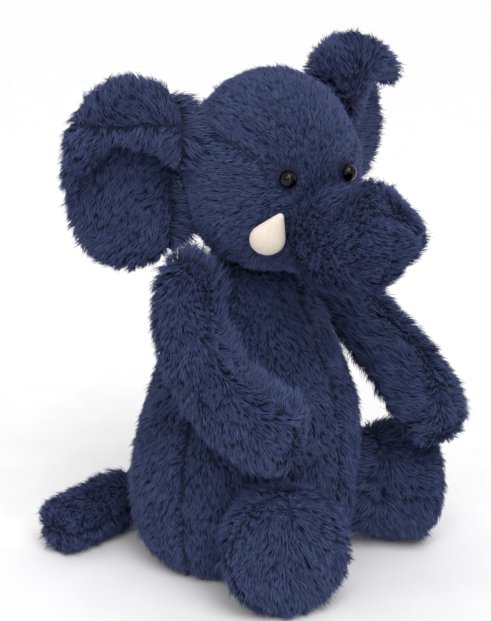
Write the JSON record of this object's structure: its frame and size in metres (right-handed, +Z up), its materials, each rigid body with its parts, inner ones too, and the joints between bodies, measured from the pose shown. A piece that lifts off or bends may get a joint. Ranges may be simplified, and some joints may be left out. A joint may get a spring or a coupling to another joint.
{
  "type": "plush elephant",
  "caption": "Sitting stuffed elephant of long-pile fabric with a turning head, flapping ears, swinging arms and legs, and a tail.",
  "frame": {"origin": "centre of the flat panel that the toy sits on, at the surface it rests on", "axes": "+Z up; the toy faces -Y, so its right side is at -X and its tail at +Y"},
  "size_m": [0.1884, 0.2062, 0.2725],
  "materials": {
    "pile_fabric_torso": "long soft pile, combed down",
    "pile_fabric_base": "long soft pile, flattened",
    "pile_fabric_head": "long soft pile, combed back from the trunk",
    "pile_fabric_trunk": "long soft pile, ruffled",
    "pile_fabric_ear": "long soft pile, fluffed at the rim",
    "pile_fabric_arm": "long soft pile",
    "pile_fabric_leg": "long soft pile",
    "pile_fabric_tail": "long soft pile",
    "eye_plastic": "glossy black",
    "washer_plastic": "plain moulded",
    "suedette": "short cream nap",
    "fibre": "loose white polyester",
    "pouch_cloth": "plain woven cotton"
  },
  "bodies": {
    "torso": {"base_panel": "pile_fabric_base", "front_panel_right": "pile_fabric_torso", "front_panel_left": "pile_fabric_torso", "back_panel_right": "pile_fabric_torso", "back_panel_left": "pile_fabric_torso", "torso_filling": "fibre", "bean_pouch": "pouch_cloth"},
    "head": {"head_side_right": "pile_fabric_head", "head_side_left": "pile_fabric_head", "head_gusset": "pile_fabric_head", "head_filling": "fibre", "trunk_top": "pile_fabric_trunk", "trunk_underside": "pile_fabric_trunk", "trunk_tip": "pile_fabric_trunk", "trunk_filling": "fibre", "eye_right": "eye_plastic", "eye_left": "eye_plastic", "eye_washer_right": "washer_plastic", "eye_washer_left": "washer_plastic", "tusk_right": "suedette", "tusk_left": "suedette"},
    "ear_right": {"ear_right_front": "pile_fabric_ear", "ear_right_back": "pile_fabric_ear", "ear_right_pad": "fibre"},
    "ear_left": {"ear_left_front": "pile_fabric_ear", "ear_left_back": "pile_fabric_ear", "ear_left_pad": "fibre"},
    "arm_right": {"arm_right_outer": "pile_fabric_arm", "arm_right_inner": "pile_fabric_arm", "arm_right_filling": "fibre"},
    "arm_left": {"arm_left_outer": "pile_fabric_arm", "arm_left_inner": "pile_fabric_arm", "arm_left_filling": "fibre"},
    "leg_right": {"leg_right_upper": "pile_fabric_leg", "leg_right_lower": "pile_fabric_leg", "leg_right_sole": "pile_fabric_leg", "leg_right_filling": "fibre"},
    "leg_left": {"leg_left_upper": "pile_fabric_leg", "leg_left_lower": "pile_fabric_leg", "leg_left_sole": "pile_fabric_leg", "leg_left_filling": "fibre"},
    "tail": {"tail_upper": "pile_fabric_tail", "tail_lower": "pile_fabric_tail", "tail_filling": "fibre"}
  },
  "joints": [
    {"name": "neck_turn", "type": "hinge", "parent": "torso", "child": "head", "pos_m": [0, -0.004, 0.142], "axis": [0, 0, 1], "range_deg": [-10, 12]},
    {"name": "ear_right_flap", "type": "hinge", "parent": "head", "child": "ear_right", "pos_m": [-0.0305, 0.0162, 0.209], "axis": [0, 0, 1], "range_deg": [-12, 3]},
    {"name": "ear_left_flap", "type": "hinge", "parent": "head", "child": "ear_left", "pos_m": [0.0444, -0.0171, 0.215], "axis": [-0.6081, -0.0963, 0.788], "range_deg": [-5, 12]},
    {"name": "arm_right_swing", "type": "hinge", "parent": "torso", "child": "arm_right", "pos_m": [-0.046, 0, 0.157], "axis": [-1, 0, 0], "range_deg": [0, 35]},
    {"name": "arm_left_swing", "type": "hinge", "parent": "torso", "child": "arm_left", "pos_m": [0.046, -0.009, 0.152], "axis": [-1, 0, 0], "range_deg": [0, 40]},
    {"name": "leg_right_spread", "type": "hinge", "parent": "torso", "child": "leg_right", "pos_m": [-0.029, -0.034, 0.032], "axis": [0, 0, -1], "range_deg": [-6, 8]},
    {"name": "leg_left_spread", "type": "hinge", "parent": "torso", "child": "leg_left", "pos_m": [0.044, -0.041, 0.032], "axis": [0, 0, 1], "range_deg": [-6, 10]},
    {"name": "tail_swing", "type": "hinge", "parent": "torso", "child": "tail", "pos_m": [-0.004, 0.069, 0.018], "axis": [0, 0, -1], "range_deg": [0, 60]}
  ]
}
